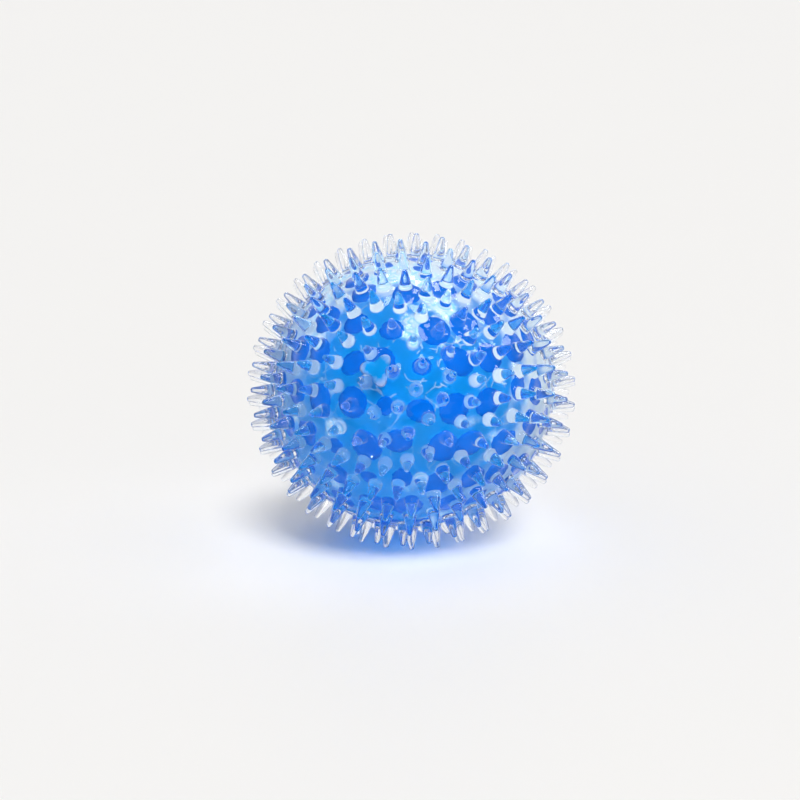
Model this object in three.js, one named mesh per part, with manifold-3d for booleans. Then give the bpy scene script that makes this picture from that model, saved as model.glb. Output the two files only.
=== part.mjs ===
// A spiky sensory ball: a hollow shell of soft clear rubber, covered in blunt spikes and packed
// with gel beads. The beads go in dry through a fill hole, which a plug then closes, and swell.
// Millimetres, +Z up. The origin is on the floor under the middle of the ball. The mould's pole,
// with the fill hole, faces -Y, upwards and a little towards -X.

import * as THREE from "three";
import { ConvexHull } from "three/addons/math/ConvexHull.js";
import { mergeVertices } from "three/addons/utils/BufferGeometryUtils.js";
import Module from "manifold-3d";

// Shell without its spikes: it sags a little under the weight of the beads
const bodyWidth = 59.8;
const bodyHeight = 57.2;
const wall = 2;

// Spikes, in rows round the mould's pole that both halves of the mould share
const spikeLength = 5.1;
const spikeRootDiameter = 3;
const spikeTipDiameter = 1.2;
const spikesInRow = [3, 11, 18, 26, 30, 34, 36, 38]; // from the pole to the parting line
const rowStartAngle = [-5, 9.5, 0, 0, 5, -2, 0, 0]; // degrees round the pole
const firstRowAngle = 6.7; // degrees from the pole
const rowStepAngle = 11;
const poleRiseAngle = 23.9; // degrees above the level
const poleTurnAngle = 15.3; // degrees from -Y towards -X
const floorPress = 1.8; // height of the lowest spikes that the floor flattens

// Fill hole at the pole, and its plug
const fillHoleDiameter = 3.2;
const plugClearance = 0.3;
const plugDome = 0.3; // how far the middle of the plug stands out of the shell
const plugChamfer = 0.4;
const holeCutLength = 8; // clear of the wall on both sides

// Gel beads, in layers of rows round the upright axis
const beadDiameter = 6.8;
const beadClearance = 0.25; // between beads that are free of each other
const wallClearance = 0.4; // between the outer layer and the shell
const beadPress = 0.1; // how far neighbours in a row press into each other, at the least

// Facets
const spikeSides = 5;
const holeSides = 8;
const cavitySegments = 3;
const centreBeadSegments = 1;
const mergeTolerance = 1e-4;
// Sections of a bead: stations along the row, in bead radii, swollen to make up for flat facets
const layerFacets = [
  { sides: 5, stations: [-0.45, 0.45], swell: 1.12 },
  { sides: 4, stations: [0], swell: 1 },
  { sides: 6, stations: [0], swell: 1.03 },
];
const beadsInString = 6; // more only where the strings would pass their number
const mostStrings = 57; // pieces that the beads may be joined into, at the most

const halfWidth = bodyWidth / 2;
const halfHeight = bodyHeight / 2;
const centreHeight = halfHeight + spikeLength - floorPress;
const beadPitch = beadDiameter + beadClearance;
const radians = THREE.MathUtils.degToRad;
const upright = new THREE.Vector3(0, 0, 1);

const rubber = new THREE.MeshStandardMaterial({
  color: 0xdce6f5,
  roughness: 0.12,
  metalness: 0,
  transparent: true,
  opacity: 0.35,
});
const plugRubber = new THREE.MeshStandardMaterial({ color: 0xbfe2f2, roughness: 0.25, metalness: 0 });
const gel = new THREE.MeshStandardMaterial({ color: 0x0a78e4, roughness: 0.18, metalness: 0 });

const wasm = await Module();
wasm.setup();

// A closed geometry as a solid that can be joined and cut
function solidOf(geometry) {
  const bare = geometry.clone();
  bare.deleteAttribute("normal");
  bare.deleteAttribute("uv");
  const merged = mergeVertices(bare, mergeTolerance);
  const vertProperties = merged.attributes.position.array;
  const triVerts = new Uint32Array(merged.index.array);
  return new wasm.Manifold(new wasm.Mesh({ numProp: 3, vertProperties, triVerts }));
}

function geometryOf(solid) {
  const { vertProperties, triVerts } = solid.getMesh();
  const geometry = new THREE.BufferGeometry();
  geometry.setAttribute("position", new THREE.BufferAttribute(vertProperties, 3));
  geometry.setIndex(new THREE.BufferAttribute(triVerts, 1));
  geometry.computeVertexNormals();
  return geometry;
}

// Everything below is made round the middle of the ball
const ball = new THREE.Group();
ball.position.z = centreHeight;

function addPiece(name, geometry, material) {
  const piece = new THREE.Mesh(geometry, material);
  piece.name = name;
  ball.add(piece);
}

// The mould's frame: x runs level to the right, z out through the pole
const rise = radians(poleRiseAngle);
const turn = radians(poleTurnAngle);
const poleDirection = new THREE.Vector3(
  -Math.sin(turn) * Math.cos(rise),
  -Math.cos(turn) * Math.cos(rise),
  Math.sin(rise),
);
const mouldRight = new THREE.Vector3(Math.cos(turn), -Math.sin(turn), 0);
const mouldUp = new THREE.Vector3().crossVectors(poleDirection, mouldRight);
const mouldFrame = new THREE.Matrix4().makeBasis(mouldRight, mouldUp, poleDirection);

// Where a direction from the middle leaves the body, and the way that the skin faces there
function seatOnBody(direction) {
  const size = new THREE.Vector3(halfWidth, halfWidth, halfHeight);
  const point = direction.clone().multiply(size);
  const normal = direction.clone().divide(size).normalize();
  return { point, facing: new THREE.Quaternion().setFromUnitVectors(upright, normal) };
}

function spikeDirections() {
  const directions = [];
  for (const side of [1, -1]) {
    spikesInRow.forEach((count, row) => {
      const fromPole = radians(firstRowAngle + row * rowStepAngle);
      for (let i = 0; i < count; i += 1) {
        const round = radians(rowStartAngle[row]) + (2 * Math.PI * i) / count;
        const direction = new THREE.Vector3().setFromSphericalCoords(1, fromPole, round);
        directions.push(new THREE.Vector3(direction.z, direction.x, side * direction.y));
      }
    });
  }
  return directions.map((direction) => direction.applyMatrix4(mouldFrame));
}

// A spike's root ring on the skin and its tip ring, each counter-clockwise from outside
function spikeRings(direction) {
  const { point, facing } = seatOnBody(direction);
  const ring = (diameter, height) =>
    Array.from({ length: spikeSides }, (_, i) => {
      const round = (2 * Math.PI * i) / spikeSides;
      const corner = new THREE.Vector3(Math.cos(round), Math.sin(round), 0);
      corner.multiplyScalar(diameter / 2).setZ(height);
      return corner.applyQuaternion(facing).add(point);
    });
  return { root: ring(spikeRootDiameter, 0), tip: ring(spikeTipDiameter, spikeLength) };
}

// The outer skin: a hull stretched over every root ring, whose own facets make way for its spike
function spikedSkin() {
  const spikes = spikeDirections().map(spikeRings);
  const spikeAt = new Map();
  spikes.forEach((spike) => spike.root.forEach((corner) => spikeAt.set(corner, spike)));
  const corners = [];
  for (const face of new ConvexHull().setFromPoints([...spikeAt.keys()]).faces) {
    const triangle = [face.edge.prev, face.edge, face.edge.next].map((edge) => edge.head().point);
    const spikesMet = new Set(triangle.map((corner) => spikeAt.get(corner)));
    if (spikesMet.size > 1) corners.push(...triangle);
  }
  for (const { root, tip } of spikes) {
    for (let i = 0; i < spikeSides; i += 1) {
      const next = (i + 1) % spikeSides;
      corners.push(root[i], root[next], tip[next], root[i], tip[next], tip[i]);
    }
    for (let i = 2; i < spikeSides; i += 1) corners.push(tip[0], tip[i - 1], tip[i]);
  }
  return new THREE.BufferGeometry().setFromPoints(corners);
}

const polePlace = seatOnBody(poleDirection);

function spikyShell() {
  const cavity = new THREE.IcosahedronGeometry(1, cavitySegments);
  cavity.scale(halfWidth - wall, halfWidth - wall, halfHeight - wall);

  const hole = new THREE.CylinderGeometry(
    fillHoleDiameter / 2,
    fillHoleDiameter / 2,
    holeCutLength,
    holeSides,
  );
  hole.rotateX(Math.PI / 2).applyQuaternion(polePlace.facing);
  hole.translate(...polePlace.point);

  const floor = new THREE.BoxGeometry(2 * bodyWidth, 2 * bodyWidth, 2 * spikeLength);
  floor.translate(0, 0, -centreHeight - spikeLength);

  const cuts = [cavity, hole, floor].map(solidOf);
  return cuts.reduce((shell, cut) => shell.subtract(cut), solidOf(spikedSkin()));
}

// A peg as long as the wall is thick, chamfered where it goes in and domed outside
function fillPlug() {
  const radius = fillHoleDiameter / 2 - plugClearance;
  const profile = [
    new THREE.Vector2(0, 0),
    new THREE.Vector2(radius - plugChamfer, 0),
    new THREE.Vector2(radius, plugChamfer),
    new THREE.Vector2(radius, wall),
    new THREE.Vector2(0, wall + plugDome),
  ];
  const plug = new THREE.LatheGeometry(profile, holeSides);
  plug.rotateX(Math.PI / 2).translate(0, 0, -wall).applyQuaternion(polePlace.facing);
  plug.translate(...polePlace.point);
  return geometryOf(solidOf(plug));
}

addPiece("spiky_shell", geometryOf(spikyShell()), rubber);
addPiece("fill_plug", fillPlug(), plugRubber);

// A ring of corners round a point, turning from the first direction to the second
function sectionRing(middle, first, second, size, sides, turned) {
  return Array.from({ length: sides }, (_, i) => {
    const angle = turned + (2 * Math.PI * i) / sides;
    const corner = middle.clone().addScaledVector(first, size * Math.cos(angle));
    return corner.addScaledVector(second, size * Math.sin(angle));
  });
}

// A closed solid through rings of corners that turn clockwise as seen along the way
function loft(rings) {
  const corners = [];
  const sides = rings[0].length;
  for (let r = 1; r < rings.length; r += 1) {
    const [near, far] = [rings[r - 1], rings[r]];
    for (let i = 0; i < sides; i += 1) {
      const next = (i + 1) % sides;
      corners.push(near[i], far[i], far[next], near[i], far[next], near[next]);
    }
  }
  const [start, end] = [rings[0], rings[rings.length - 1]];
  for (let i = 2; i < sides; i += 1) {
    corners.push(start[0], start[i - 1], start[i]);
    corners.push(end[0], end[i], end[i - 1]);
  }
  const geometry = new THREE.BufferGeometry().setFromPoints(corners);
  geometry.computeVertexNormals();
  return geometry;
}

// Rows of one layer, whose beads have their middles on the body's own shape, inset. The beads are
// as large as the rows' spacing lets them be.
function layerRows(layer, inset) {
  const across = halfWidth - inset;
  const up = halfHeight - inset;
  const rowCount = Math.round((Math.PI * Math.min(across, up)) / beadPitch);
  const rowPitch = 2 * Math.min(across, up) * Math.sin(Math.PI / (2 * rowCount));
  const diameter = Math.min(beadDiameter, rowPitch - beadClearance);
  return Array.from({ length: rowCount }, (_, i) => {
    const fromTop = (Math.PI * (i + 0.5)) / rowCount;
    const radius = across * Math.sin(fromTop);
    const height = up * Math.cos(fromTop);
    const facing = Math.atan2(height / up ** 2, radius / across ** 2); // a corner faces the wall
    const beads = Math.ceil(Math.PI / Math.asin((diameter - beadPress) / (2 * radius)));
    return { layer, number: i + 1, radius, height, facing, beads, beadRadius: diameter / 2 };
  });
}

function beadRows() {
  const rows = [];
  let inset = wall + wallClearance + beadDiameter / 2;
  for (let layer = 1; halfHeight - inset > beadDiameter; layer += 1) {
    const facets = layerFacets[Math.min(layer, layerFacets.length) - 1];
    rows.push(...layerRows(layer, inset).map((row) => ({ ...row, ...facets })));
    inset += beadDiameter;
  }
  return rows;
}

// Beads to a string, with more of them until the strings keep within their number
function beadsPerString(rows) {
  const stringsOf = (length) => rows.reduce((sum, row) => sum + Math.ceil(row.beads / length), 0);
  let length = beadsInString;
  while (stringsOf(length) > mostStrings) length += 1;
  return length;
}

// Neighbours along a row, joined at the flats where they press together. Each section lies in an
// upright plane through the ball's axis.
function beadString(row, firstBead, count) {
  const flat = row.radius * Math.sin(Math.PI / row.beads);
  const endFlat = flat - beadClearance / 2;
  const rings = [];
  const addRing = (bead, along, swell) => {
    const offset = Math.asin(along / row.radius);
    const round = (2 * Math.PI * (firstBead + bead + row.number / 2)) / row.beads + offset;
    const outward = new THREE.Vector3(Math.cos(round), Math.sin(round), 0);
    const middle = outward.clone().multiplyScalar(row.radius * Math.cos(offset)).setZ(row.height);
    const size = swell * Math.sqrt(row.beadRadius ** 2 - along ** 2);
    rings.push(sectionRing(middle, outward, upright, size, row.sides, row.facing));
  };
  addRing(0, -endFlat, 1);
  for (let bead = 0; bead < count; bead += 1) {
    row.stations.forEach((station) => addRing(bead, station * row.beadRadius, row.swell));
    addRing(bead, bead < count - 1 ? flat : endFlat, 1);
  }
  return loft(rings);
}

const rows = beadRows();
const stringLength = beadsPerString(rows);
for (const row of rows) {
  const strings = Math.ceil(row.beads / stringLength);
  for (let s = 0; s < strings; s += 1) {
    const first = Math.round((s * row.beads) / strings);
    const after = Math.round(((s + 1) * row.beads) / strings);
    const name = `beads_layer${row.layer}_row${row.number}_string${s + 1}`;
    addPiece(name, beadString(row, first, after - first), gel);
  }
}

// One bead is left in the middle, seated in the innermost layer's lowest row
const nest = rows[rows.length - 1];
const seatDistance = nest.beadRadius + beadDiameter / 2;
const centreBead = new THREE.IcosahedronGeometry(beadDiameter / 2, centreBeadSegments);
centreBead.translate(0, 0, nest.height + Math.sqrt(seatDistance ** 2 - nest.radius ** 2));
addPiece("centre_bead", centreBead, gel);

export default ball;
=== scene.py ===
import math
import random
import bpy
import bmesh
from mathutils import Matrix, Vector


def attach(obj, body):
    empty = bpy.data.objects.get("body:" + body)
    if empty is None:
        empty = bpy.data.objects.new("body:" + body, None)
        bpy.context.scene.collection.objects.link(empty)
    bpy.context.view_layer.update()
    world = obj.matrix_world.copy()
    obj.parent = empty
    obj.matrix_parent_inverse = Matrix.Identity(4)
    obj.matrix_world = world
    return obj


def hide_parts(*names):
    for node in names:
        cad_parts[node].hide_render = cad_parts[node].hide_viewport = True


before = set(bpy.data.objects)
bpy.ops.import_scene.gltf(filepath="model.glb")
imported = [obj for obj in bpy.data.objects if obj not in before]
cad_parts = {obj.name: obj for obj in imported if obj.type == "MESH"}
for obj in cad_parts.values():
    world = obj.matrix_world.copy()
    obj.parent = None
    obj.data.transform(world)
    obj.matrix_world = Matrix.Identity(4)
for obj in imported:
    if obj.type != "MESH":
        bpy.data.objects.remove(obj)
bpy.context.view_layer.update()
print("frame loaded with", len(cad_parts), "nodes")

mm = 0.001
touching = 0.001 * mm  # points that are closer are one
upright = Vector((0, 0, 1))
chance = random.Random(7)  # the same beads each run


# a socket that takes part in sums, and any node from one method
class Shade:
    def __init__(self, tree, socket=None):
        self.tree = tree
        self.socket = socket

    def node(self, kind, settings=None, sockets=None, output=0):
        made = self.tree.nodes.new(kind)
        for name, value in (settings or {}).items():
            setattr(made, name, value)
        for name, value in (sockets or {}).items():
            if isinstance(value, Shade):
                self.tree.links.new(value.socket, made.inputs[name])
            else:
                made.inputs[name].default_value = value
        return Shade(self.tree, made.outputs[output] if made.outputs else None)

    def output(self, name):
        return Shade(self.tree, self.socket.node.outputs[name])

    def place(self):
        return self.node("ShaderNodeTexCoord", {}, {}, "Object")

    def noise(self, place, scale, detail=2):
        return self.node(
            "ShaderNodeTexNoise", {}, {"Vector": place, "Scale": scale, "Detail": detail})

    def slant(self):
        return self.node("ShaderNodeLayerWeight", {}, {}, "Facing")

    def blend(self, share, low, high):
        return self.node("ShaderNodeMixShader", {}, {0: share, 1: low, 2: high})

    def surface(self, sockets):
        return self.node("ShaderNodeBsdfPrincipled", {}, sockets)

    def vectors(self, operation, *values, output="Vector"):
        settings = {"operation": operation}
        return self.node("ShaderNodeVectorMath", settings, dict(enumerate(values)), output)

    def clamped(self):
        return self.node("ShaderNodeClamp", {}, {"Value": self})

    def maths(self, operation, *values):
        return self.node("ShaderNodeMath", {"operation": operation}, dict(enumerate(values)))

    def mixColours(self, low, high):
        sockets = {0: self, 6: low, 7: high}
        return self.node("ShaderNodeMix", {"data_type": "RGBA"}, sockets, 2)

    def __add__(self, other):
        return self.maths("ADD", self, other)

    def __sub__(self, other):
        return self.maths("SUBTRACT", self, other)

    def __rsub__(self, other):
        return self.maths("SUBTRACT", other, self)

    def __mul__(self, other):
        return self.maths("MULTIPLY", self, other)

    __radd__ = __add__
    __rmul__ = __mul__


def newMaterial(name):
    material = bpy.data.materials.new(name)
    material.use_nodes = True
    material.node_tree.nodes.clear()
    return material, Shade(material.node_tree)


def useShader(shade, shader):
    shade.node("ShaderNodeOutputMaterial", {}, {"Surface": shader})


def smoothFaces(bm):
    for face in bm.faces:
        face.smooth = True


def keepPiece(name, bm, material, body, nodes):
    mesh = bpy.data.meshes.new(name)
    bm.to_mesh(mesh)
    bm.free()
    mesh.materials.append(material)
    piece = bpy.data.objects.new(name, mesh)
    bpy.context.scene.collection.objects.link(piece)
    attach(piece, body)
    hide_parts(*nodes)
    return piece


# the ball without its spikes, and the way that its mould's pole points
ball = {
    "halfWidth": 29.9 * mm,
    "halfHeight": 28.6 * mm,
    "wall": 2 * mm,
    "centre": Vector((0, 0, 31.9 * mm)),
    "poleRise": math.radians(23.9),
    "poleTurn": math.radians(15.3),
}
bodySize = Vector((ball["halfWidth"], ball["halfWidth"], ball["halfHeight"]))
cavitySize = bodySize - Vector((1, 1, 1)) * ball["wall"]
levelReach = math.cos(ball["poleRise"])
poleWay = Vector((
    -math.sin(ball["poleTurn"]) * levelReach,
    -math.cos(ball["poleTurn"]) * levelReach,
    math.sin(ball["poleRise"]),
))
mouldRight = Vector((math.cos(ball["poleTurn"]), -math.sin(ball["poleTurn"]), 0))
mouldFrame = Matrix((mouldRight, poleWay.cross(mouldRight), poleWay)).transposed()


def facing(way):
    return upright.rotation_difference(way).to_matrix().to_4x4()


# a place on the skin, with Z standing out of it
def seat(way):
    point = ball["centre"] + way * bodySize
    normal = Vector(w / s for w, s in zip(way, bodySize)).normalized()
    return Matrix.Translation(point) @ facing(normal)


# painted light: the haze and the milk are paler towards the upper right, where the light falls from
paintedLightSide = {
    "way": Vector((0.5, 0, 0.87)),
    "middle": 0.49,  # share at the ball's centre
    "slope": 0.84,
}


def paintedLightShare(shade, place):
    offset = shade.vectors("SUBTRACT", place, ball["centre"])
    upwards = paintedLightSide["way"] / ball["halfWidth"]
    rise = shade.vectors("DOT_PRODUCT", offset, upwards, output="Value")
    return (rise * paintedLightSide["slope"] + paintedLightSide["middle"]).clamped()


# soft clear rubber, moulded in two halves, a little hazy in the thick roots of its spikes
rubberLook = {
    "tint": (0.985, 0.985, 0.985, 1),
    "ior": 1.3,
    "roughness": (0.02, 0.06),
    "waveScale": 260,
    "crinkleScale": 1000,
    "crinkleDetail": 1,
    "crinkleShare": 0.5,
    "partingWidth": 0.25 * mm,
    "bump": 0.12,
    "bumpDepth": 0.3 * mm,
    "haze": (0.88, 0.88, 0.91, 1),
    "hazeRoughness": 0.5,
    "hazeShare": 0.01,  # all over a spike
    "edgeHaze": 0.6,  # more at its edges
    "lessLitHaze": 0.85,  # what is left of it on the lower left, away from the painted light
    "hazeStart": 0.3 * mm,
    "hazeTop": 5.5 * mm,
}


def clearRubber():
    look = rubberLook
    material, shade = newMaterial("clearRubber")
    place = shade.place()
    waves = shade.noise(place, look["waveScale"])
    crinkles = shade.noise(place, look["crinkleScale"], look["crinkleDetail"])
    ripples = waves * (1 - look["crinkleShare"]) + waves * crinkles * look["crinkleShare"]
    along = shade.vectors("DOT_PRODUCT", place, poleWay, output="Value")
    fromParting = shade.maths("ABSOLUTE", along - ball["centre"].dot(poleWay))
    parting = (1 - fromParting * (1 / look["partingWidth"])).clamped()
    relief = shade.node("ShaderNodeBump", {}, {
        "Strength": look["bump"],
        "Distance": look["bumpDepth"],
        "Height": ripples + parting,
    })
    smooth, dull = look["roughness"]
    clear = shade.surface({
        "Base Color": look["tint"],
        "Roughness": waves * (dull - smooth) + smooth,
        "IOR": look["ior"],
        "Transmission Weight": 1,
        "Normal": relief,
    })
    hazy = shade.surface({
        "Base Color": look["haze"],
        "Roughness": look["hazeRoughness"],
        "Specular IOR Level": 0,
    })
    fromCentre = shade.vectors("SUBTRACT", place, ball["centre"])
    level = shade.vectors("LENGTH", shade.vectors("DIVIDE", fromCentre, bodySize), output="Value")
    height = (level - 1) * ball["halfWidth"]  # above the skin
    onSpike = (height * (1 / look["hazeStart"])).clamped()
    belowTip = (1 - height * (1 / look["hazeTop"])).clamped()
    slant = shade.slant()
    edge = slant * slant
    haze = onSpike * belowTip * (edge * edge * look["edgeHaze"] + look["hazeShare"])
    # painted light: the haze is paler towards the upper right
    haze = haze * (paintedLightShare(shade, place) * (1 - look["lessLitHaze"]) + look["lessLitHaze"])
    useShader(shade, shade.blend(haze, clear, hazy))
    return material


# the wall's inner face is matt: beads show through it, and the gel's light is painted on it as a
# blue glow.
# At a slant it turns milky with a painted reflection, paler towards the upper right, with lines
# where films of water end and froth near the top
innerLook = {
    "film": (1, 1, 1, 1),
    "roughness": 0.4,
    "ior": 1.2,
    "glow": (0, 0.285, 0.79, 1),
    "glowShare": 0.75,
    "milkAndSheen": (0.66, 0.77, 0.84, 1),
    "milkRoughness": 0.6,
    "milkStart": 0.19,
    "milkSlope": 7,
    "mostMilk": 0.9,
    "lineScale": 260,
    "lineBend": 6 * mm,
    "lineWidth": 0.02,
    "lineBreak": 0.52,  # higher breaks the lines up more
    "lineShare": 0.7,
    "froth": (0.92, 0.96, 1, 1),
    "frothGap": (0.1, 0.6, 1, 1),
    "frothRoughness": 0.15,
    "frothLevel": 44 * mm,
    "frothFade": 9 * mm,
    "frothScale": 85,
    "frothStart": 0.62,
    "frothRise": 0.12,  # how much earlier it starts above its level
    "frothEdge": 12,
    "frothShare": 0.85,
    "bubbleScale": 1100,
    "bubbleBump": 0.8,
    "bubbleDepth": 0.3 * mm,
}


def innerWall():
    look = innerLook
    material, shade = newMaterial("innerWall")
    place = shade.place()
    frosted = shade.surface({
        "Base Color": look["film"],
        "Roughness": look["roughness"],
        "IOR": look["ior"],
        "Transmission Weight": 1,
    })
    glowing, milkySheen = (
        shade.surface({
            "Base Color": look[colour],
            "Roughness": look["milkRoughness"],
            "Specular IOR Level": 0,
        })
        for colour in ("glow", "milkAndSheen")
    )
    wavy = shade.noise(place, look["lineScale"] / 2)
    bent = shade.vectors("MULTIPLY_ADD", wavy.output("Color"), (look["lineBend"],) * 3, place)
    films = shade.node("ShaderNodeTexVoronoi", {"feature": "DISTANCE_TO_EDGE"}, {
        "Vector": bent, "Scale": look["lineScale"],
    })
    lines = shade.maths("LESS_THAN", films, look["lineWidth"])
    lines = lines * shade.maths("GREATER_THAN", wavy, look["lineBreak"])
    # partly the wall's haze, partly a painted reflection: paler at a slant
    milkAndSheen = (shade.slant() - look["milkStart"]) * look["milkSlope"]
    milkAndSheen = shade.maths("MAXIMUM", milkAndSheen, lines * look["lineShare"]).clamped() * look["mostMilk"]
    # painted light: paler towards the upper right
    milkAndSheen = milkAndSheen * paintedLightShare(shade, place)
    wet = shade.blend(milkAndSheen, shade.blend(look["glowShare"], frosted, glowing), milkySheen)

    # air gathers at the top as patches of small bubbles
    height = shade.node("ShaderNodeSeparateXYZ", {}, {0: place}, "Z")
    bubbles = shade.node("ShaderNodeTexVoronoi", {}, {"Vector": bent, "Scale": look["bubbleScale"]})
    domes = shade.node("ShaderNodeBump", {}, {
        "Strength": look["bubbleBump"],
        "Distance": look["bubbleDepth"],
        "Height": 1 - bubbles,
    })
    frothy = shade.surface({
        "Base Color": bubbles.clamped().mixColours(look["froth"], look["frothGap"]),
        "Roughness": look["frothRoughness"],
        "Normal": domes,
    })
    airy = ((height - look["frothLevel"]) * (1 / look["frothFade"])).clamped()
    froth = shade.noise(place, look["frothScale"]) - look["frothStart"] + airy * look["frothRise"]
    froth = (froth * look["frothEdge"]).clamped() * look["frothShare"]
    useShader(shade, shade.blend(froth, wet, frothy))
    return material


# spikes in rows round the pole, alike on both halves of the mould
spikes = {
    "inRow": (3, 11, 18, 26, 30, 34, 36, 38),
    "rowStart": (-5, 9.5, 0, 0, 5, -2, 0, 0),
    "firstRow": 6.7,  # degrees from the pole
    "rowStep": 11,
    "rootRadius": 1.75 * mm,
    "sides": 10,
    # how far each ring draws in and rises, in millimetres: root fillet, shaft, rounded tip
    "rings": (
        (0.16, 0.12), (0.08, 0.35), (0.45, 2.2), (0.45, 2.1),
        (0.09, 0.2), (0.15, 0.1), (0.16, 0.03),
    ),
}
fillHole = {"radius": 1.6 * mm, "sides": 64, "cavityRings": 54}


def spikeWays():
    ways = []
    for row, count in enumerate(spikes["inRow"]):
        fromPole = math.radians(spikes["firstRow"] + row * spikes["rowStep"])
        across, along = math.sin(fromPole), math.cos(fromPole)
        for i in range(count):
            turn = math.radians(spikes["rowStart"][row]) + math.tau * i / count
            for side in (1, -1):
                way = Vector((math.cos(turn) * across, math.sin(turn) * across, side * along))
                ways.append(mouldFrame @ way)
    return ways


def addRing(bm, radius, sides, place):
    return bmesh.ops.create_circle(bm, segments=sides, radius=radius, matrix=place)["verts"]


def spikyShell():
    bm = bmesh.new()
    ringOf = {}
    holeRing = addRing(bm, fillHole["radius"], fillHole["sides"], seat(poleWay))
    rings = [holeRing]
    for way in spikeWays():
        rings.append(addRing(bm, spikes["rootRadius"], spikes["sides"], seat(way)))
    for number, ring in enumerate(rings):
        ringOf.update((vert, number) for vert in ring)

    # a skin stretched over the rings, with one face in each
    bmesh.ops.convex_hull(bm, input=bm.verts[:])
    inRings = [f for f in bm.faces if len({ringOf[v] for v in f.verts}) == 1]
    bmesh.ops.dissolve_faces(bm, faces=inRings)
    bmesh.ops.recalc_face_normals(bm, faces=bm.faces[:])
    caps = [f for f in bm.faces if len({ringOf[v] for v in f.verts}) == 1]
    holeCap = [f for f in caps if f.verts[0] in holeRing]
    roots = [f for f in caps if f not in holeCap]
    for inwards, rise in spikes["rings"]:
        bmesh.ops.inset_individual(
            bm, faces=roots, thickness=inwards * mm, depth=rise * mm, use_even_offset=True)
    for vert in bm.verts:
        vert.co.z = max(vert.co.z, 0)  # the floor flattens the lowest spikes
    bmesh.ops.delete(bm, geom=holeCap, context="FACES_ONLY")
    smoothFaces(bm)

    # the cavity's wall, open at the fill hole and joined to the skin there
    cavityPlace = (
        Matrix.Translation(ball["centre"])
        @ Matrix.Diagonal(cavitySize).to_4x4()
        @ mouldFrame.to_4x4()
    )
    cavity = bmesh.ops.create_uvsphere(
        bm, u_segments=fillHole["sides"], v_segments=fillHole["cavityRings"], radius=1,
        matrix=cavityPlace)["verts"]
    top = max(cavity, key=lambda v: (v.co - ball["centre"]).dot(poleWay))
    wallFaces = list({f for v in cavity for f in v.link_faces})
    bmesh.ops.reverse_faces(bm, faces=wallFaces)
    for face in wallFaces:
        face.smooth = True
        face.material_index = 1
    bmesh.ops.delete(bm, geom=[top], context="VERTS")
    rims = [e for e in bm.edges if e.is_boundary]
    for edge in rims:
        edge.smooth = False
    bmesh.ops.bridge_loops(bm, edges=rims)
    return bm


shell = keepPiece(
    "spikyShell", spikyShell(), clearRubber(), "shell", ["spiky_shell"])
shell.data.materials.append(innerWall())
shell.visible_shadow = False  # lamps light the gel through it
print("shell made,", len(shell.data.polygons), "faces")


# the plug that closes the fill hole: its thin head runs out between the first three spikes
plug = {
    "radius": 1.3 * mm,
    "chamfer": 0.4 * mm,
    "dome": 0.3 * mm,
    "sides": 36,
    "headRadius": 2.8 * mm,
    "headRoot": -0.5 * mm,
    "headShape": ((1, -0.15), (0.9, 0.1), (0.5, 0.75), (0, 1)),  # shares of its radius and dome
    "droop": 1.6,  # lower hangs more over the ball's curve
    "lobes": 3,
    "lobeShare": 0.36,
    "lobeTurn": math.radians(55),
    "tint": (0, 0.25, 0.7, 1),
    "pale": (0.38, 0.47, 0.75, 1),
    "paleSlope": 1.2,
    "paleStart": 1.3,
    "paleClouds": 0.9,
    "cloudScale": 900,
    "cloudDetail": 3,
    "roughness": 0.1,
    "roughnessSpread": 0.2,
}


def plugRubber():
    material, shade = newMaterial("plugRubber")
    place = shade.place()
    clouds = shade.noise(place, plug["cloudScale"], plug["cloudDetail"])
    fromCentre = shade.vectors("SUBTRACT", place, ball["centre"])
    fromPole = shade.vectors("CROSS_PRODUCT", fromCentre, poleWay)
    aside = shade.vectors("LENGTH", fromPole, output="Value")
    rim = aside * (plug["paleSlope"] / plug["headRadius"]) - plug["paleStart"]
    rim = (rim + clouds * plug["paleClouds"]).clamped()
    useShader(shade, shade.surface({
        "Base Color": rim.mixColours(plug["tint"], plug["pale"]),
        "Roughness": clouds * plug["roughnessSpread"] + plug["roughness"],
        "IOR": rubberLook["ior"],
    }))
    return material


def fillPlug():
    bm = bmesh.new()
    wall, radius, chamfer = ball["wall"], plug["radius"], plug["chamfer"]
    profile = [
        (0, -wall), (radius - chamfer, -wall), (radius, chamfer - wall), (radius, plug["headRoot"]),
    ]
    profile += [(out * plug["headRadius"], up * plug["dome"]) for out, up in plug["headShape"]]
    verts = [bm.verts.new((across, 0, height)) for across, height in profile]
    edges = [bm.edges.new(pair) for pair in zip(verts, verts[1:])]
    bmesh.ops.spin(
        bm, geom=verts + edges, axis=upright, angle=math.tau, steps=plug["sides"], use_merge=True)
    bmesh.ops.remove_doubles(bm, verts=bm.verts[:], dist=touching)
    bmesh.ops.recalc_face_normals(bm, faces=bm.faces[:])
    for vert in bm.verts:
        if vert.co.z > plug["headRoot"] + touching:
            turn = math.atan2(vert.co.y, vert.co.x) - plug["lobeTurn"]
            spread = 1 + plug["lobeShare"] * math.cos(plug["lobes"] * turn)
            vert.co.x *= spread
            vert.co.y *= spread
            vert.co.z -= (vert.co.x ** 2 + vert.co.y ** 2) / (plug["droop"] * ball["halfWidth"])
    place = Matrix.Translation(ball["centre"] + poleWay * bodySize) @ mouldFrame.to_4x4()
    bmesh.ops.transform(bm, matrix=place, verts=bm.verts[:])
    smoothFaces(bm)
    return bm


keepPiece("fillPlug", fillPlug(), plugRubber(), "shell", ["fill_plug"])
print("plug made")


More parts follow.
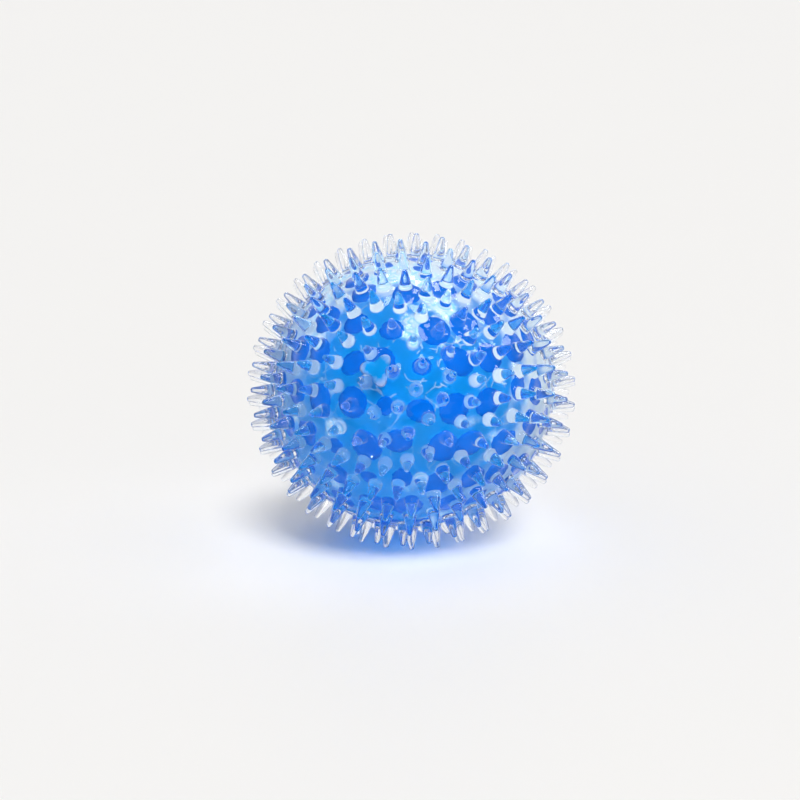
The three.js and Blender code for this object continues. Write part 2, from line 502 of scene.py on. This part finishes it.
# gel beads in layers of rows round the upright axis, pressed on the wall
beads = {
    "diameter": 6.8 * mm,
    "clearance": 0.25 * mm,
    "wallClearance": 0.4 * mm,
    "press": 0.1 * mm,  # overlap of neighbours in a row
    "swell": 1.15,  # soft beads fill more of the room between them
    "sizeSpread": 0.13,
    "ovalSpread": 0.1,
    "shift": 1.1 * mm,
    "sides": 12,
    "rings": 7,
    "flatRing": 2,  # a bead is pressed flat from its top down to this ring
    "flatPress": 1.12,  # that ring's height before it meets the wall, as a share of the way there
    "softFrom": 0.1,  # share of the radius above which a bead gives
    "contact": 0.06 * mm,  # how far a bead beds into the wall
}
gelLook = {
    "deep": (0, 0.11, 0.63, 1),
    "bright": (0, 0.162, 0.7, 1),
    "patchScale": 90,
    "roughness": 0.16,
    "roughnessSpread": 0.1,
    "ior": 1.34,
}


def blueGel():
    material, shade = newMaterial("blueGel")
    depth = shade.noise(shade.place(), gelLook["patchScale"])
    useShader(shade, shade.surface({
        "Base Color": depth.mixColours(gelLook["deep"], gelLook["bright"]),
        "Roughness": depth * gelLook["roughnessSpread"] + gelLook["roughness"],
        "IOR": gelLook["ior"],
        "Specular IOR Level": 0,
    }))
    return material


def addBead(bm, place, outwards, pressed):
    radius = beads["diameter"] / 2 * beads["swell"]
    radius *= 1 + chance.uniform(-1, 1) * beads["sizeSpread"]
    made = bmesh.ops.create_uvsphere(
        bm, u_segments=beads["sides"], v_segments=beads["rings"], radius=radius)["verts"]
    if pressed:
        reach = beads["wallClearance"] + beads["diameter"] / 2
        ringHeight = radius * math.cos(beads["flatRing"] * math.pi / beads["rings"])
        outer = [v for v in made if v.co.z > beads["softFrom"] * radius]
        bmesh.ops.scale(bm, vec=(1, 1, beads["flatPress"] * reach / ringHeight), verts=outer)
    oval = 1 + chance.uniform(-1, 1) * beads["ovalSpread"]
    bmesh.ops.scale(bm, vec=(oval, 1 / oval, 1), verts=made)
    spin = Matrix.Rotation(chance.uniform(0, math.tau), 4, "Z")
    turned = Matrix.Translation(place) @ facing(outwards) @ spin
    bmesh.ops.transform(bm, matrix=turned, verts=made)
    wallSize = cavitySize + Vector((1, 1, 1)) * beads["contact"]
    for vert in made:
        offset = vert.co - ball["centre"]
        level = Vector(o / s for o, s in zip(offset, wallSize)).length
        if level > 1:
            vert.co = ball["centre"] + offset / level


def beadRow(layer, across, up, row, rowCount, diameter):
    fromTop = math.pi * (row + 0.5) / rowCount
    radius, height = across * math.sin(fromTop), up * math.cos(fromTop)
    count = math.ceil(math.pi / math.asin((diameter - beads["press"]) / (2 * radius)))
    bm = bmesh.new()
    for i in range(count):
        turn = math.tau * (i + (row + 1) / 2) / count
        offset = Vector((math.cos(turn) * radius, math.sin(turn) * radius, height))
        outwards = Vector((offset.x / across ** 2, offset.y / across ** 2, height / up ** 2))
        jitter = Vector(chance.uniform(-1, 1) * beads["shift"] for _ in range(3))
        addBead(bm, ball["centre"] + offset + jitter, outwards.normalized(), layer == 1)
    smoothFaces(bm)
    return bm, radius, height


gel = blueGel()
inset = ball["wall"] + beads["wallClearance"] + beads["diameter"] / 2
layer = 1
while ball["halfHeight"] - inset > beads["diameter"]:
    across, up = ball["halfWidth"] - inset, ball["halfHeight"] - inset
    least = min(across, up)
    rowCount = round(math.pi * least / (beads["diameter"] + beads["clearance"]))
    rowPitch = 2 * least * math.sin(math.pi / (2 * rowCount))
    diameter = min(beads["diameter"], rowPitch - beads["clearance"])
    for row in range(rowCount):
        bm, nestRadius, nestHeight = beadRow(layer, across, up, row, rowCount, diameter)
        strings = [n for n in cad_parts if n.startswith(f"beads_layer{layer}_row{row + 1}_")]
        keepPiece(f"beadsLayer{layer}Row{row + 1}", bm, gel, "bead_fill", strings)
    print("bead layer", layer, "made,", rowCount, "rows")
    inset += beads["diameter"]
    layer += 1

# the last bead, seated in the innermost layer's lowest row
seatReach = (diameter + beads["diameter"]) / 2
seatRise = math.sqrt(seatReach ** 2 - nestRadius ** 2)
bm = bmesh.new()
addBead(bm, ball["centre"] + upright * (nestHeight + seatRise), upright, False)
smoothFaces(bm)
keepPiece("centreBead", bm, gel, "bead_fill", ["centre_bead"])
print("beads made")


# plain pale floor
floorLook = {
    "size": 3,
    "pale": (0.895, 0.884, 0.868, 1),
    "dim": (0.878, 0.868, 0.856, 1),
    "scale": 3,
    "roughness": 0.55,
    "shine": 0.1,
}


def paleFloor():
    material, shade = newMaterial("paleFloor")
    patches = shade.noise(shade.place(), floorLook["scale"])
    useShader(shade, shade.surface({
        "Base Color": patches.mixColours(floorLook["dim"], floorLook["pale"]),
        "Roughness": floorLook["roughness"],
        "Specular IOR Level": floorLook["shine"],
    }))
    return material


bm = bmesh.new()
bmesh.ops.create_grid(bm, x_segments=2, y_segments=2, size=floorLook["size"])
floorMesh = bpy.data.meshes.new("floor")
bm.to_mesh(floorMesh)
bm.free()
floorMesh.materials.append(paleFloor())
floor = bpy.data.objects.new("floor", floorMesh)
bpy.context.scene.collection.objects.link(floor)

# soft light from above, two windows that only show as highlights, a fill in place of what the floor
# throws back, and the blue light that the gel passes on
sky = {"way": (0.2, -0.4, 1), "power": 1.85, "spread": math.radians(24)}
windows = {
    "topWindow": {"place": (0.05, 0.25, 0.7), "size": 0.3, "power": 4},
    "rightWindow": {"place": (0.55, 0.02, 0.5), "size": 0.3, "power": 4},
}
lowFill = {"way": (-0.35, -1, -0.45), "power": 0.95}
gelGlow = {
    "place": (-4 * mm, -6 * mm, 10 * mm),
    "colour": (0, 0.32, 1),
    "power": 0.0055,
    "radius": 8 * mm,
}


def addLamp(name, kind, place, power):
    light = bpy.data.lights.new(name, kind)
    light.energy = power
    lamp = bpy.data.objects.new(name, light)
    lamp.location = place
    lamp.rotation_euler = (ball["centre"] - lamp.location).to_track_quat("-Z", "Y").to_euler()
    lamp.visible_camera = False
    lamp.visible_transmission = False
    bpy.context.scene.collection.objects.link(lamp)
    return lamp


addLamp("sky", "SUN", sky["way"], sky["power"]).data.angle = sky["spread"]
for name, window in windows.items():
    lamp = addLamp(name, "AREA", window["place"], window["power"])
    lamp.data.size = window["size"]
    lamp.visible_diffuse = False
addLamp("lowFill", "SUN", lowFill["way"], lowFill["power"]).data.use_shadow = False
glow = addLamp("gelGlow", "POINT", gelGlow["place"], gelGlow["power"])
glow.data.color = gelGlow["colour"]
glow.data.shadow_soft_size = gelGlow["radius"]
glow.data.use_shadow = False

# a pale room, whose mirror image is dimmer behind the camera
room = {
    "colour": (1, 1, 1, 1),
    "light": 0.49,
    "seen": 0.92,
    "through": 0.9,
    "mirrored": 0.5,
    "towardsBack": 0.45,
    "towardsTop": 0.1,
}
world = bpy.data.worlds.new("room")
bpy.context.scene.world = world
world.use_nodes = True
world.node_tree.nodes.clear()
shade = Shade(world.node_tree)
roomWay = shade.node("ShaderNodeTexCoord", {}, {}, "Generated")
way = shade.node("ShaderNodeSeparateXYZ", {}, {0: roomWay})
ray = shade.node("ShaderNodeLightPath")
strength = way.output("Y") * room["towardsBack"] + way.output("Z") * room["towardsTop"]
strength = strength + room["mirrored"]
strength = ray.output("Is Glossy Ray") * (strength - room["light"]) + room["light"]
strength = ray.output("Is Transmission Ray") * (room["through"] - strength) + strength
strength = ray.output("Is Camera Ray") * (room["seen"] - strength) + strength

# after a matt face, light that comes through the shell is already counted with its shadow rays
lighting = (1 - ray.output("Is Transmission Ray")) * room["light"]
looking = shade.maths("LESS_THAN", ray.output("Diffuse Depth"), 1)
strength = looking * (strength - lighting) + lighting
sockets = {"Color": room["colour"], "Strength": strength}
background = shade.node("ShaderNodeBackground", {}, sockets)
shade.node("ShaderNodeOutputWorld", {}, {"Surface": background})
print("stage lit")

# the photograph's camera: long lens, a little above the ball
view = {
    "rise": math.radians(15),
    "distance": 0.87,
    "pixelsPerMetre": 4700,
    "ball": (411.5, 391),  # the ball's centre in the frame, in pixels
    "frame": 800,
    "sensor": 36,
    "bounces": 24,  # light crosses many clear walls
}
camera = bpy.data.cameras.new("camera")
camera.sensor_width = view["sensor"]
camera.lens = camera.sensor_width * view["pixelsPerMetre"] * view["distance"] / view["frame"]
back = Vector((0, -math.cos(view["rise"]), math.sin(view["rise"])))
cameraUp = Vector((0, math.sin(view["rise"]), math.cos(view["rise"])))
aside, below = ((p - view["frame"] / 2) / view["pixelsPerMetre"] for p in view["ball"])
aimPoint = ball["centre"] - Vector((aside, 0, 0)) + cameraUp * below
cameraObject = bpy.data.objects.new("camera", camera)
cameraObject.location = aimPoint + back * view["distance"]
cameraObject.rotation_euler = (math.pi / 2 - view["rise"], 0, 0)
bpy.context.scene.collection.objects.link(cameraObject)
bpy.context.scene.camera = cameraObject
bpy.context.scene.view_settings.view_transform = "Standard"
for kind in ("max_bounces", "transmission_bounces", "glossy_bounces"):
    setattr(bpy.context.scene.cycles, kind, view["bounces"])
print("camera placed")
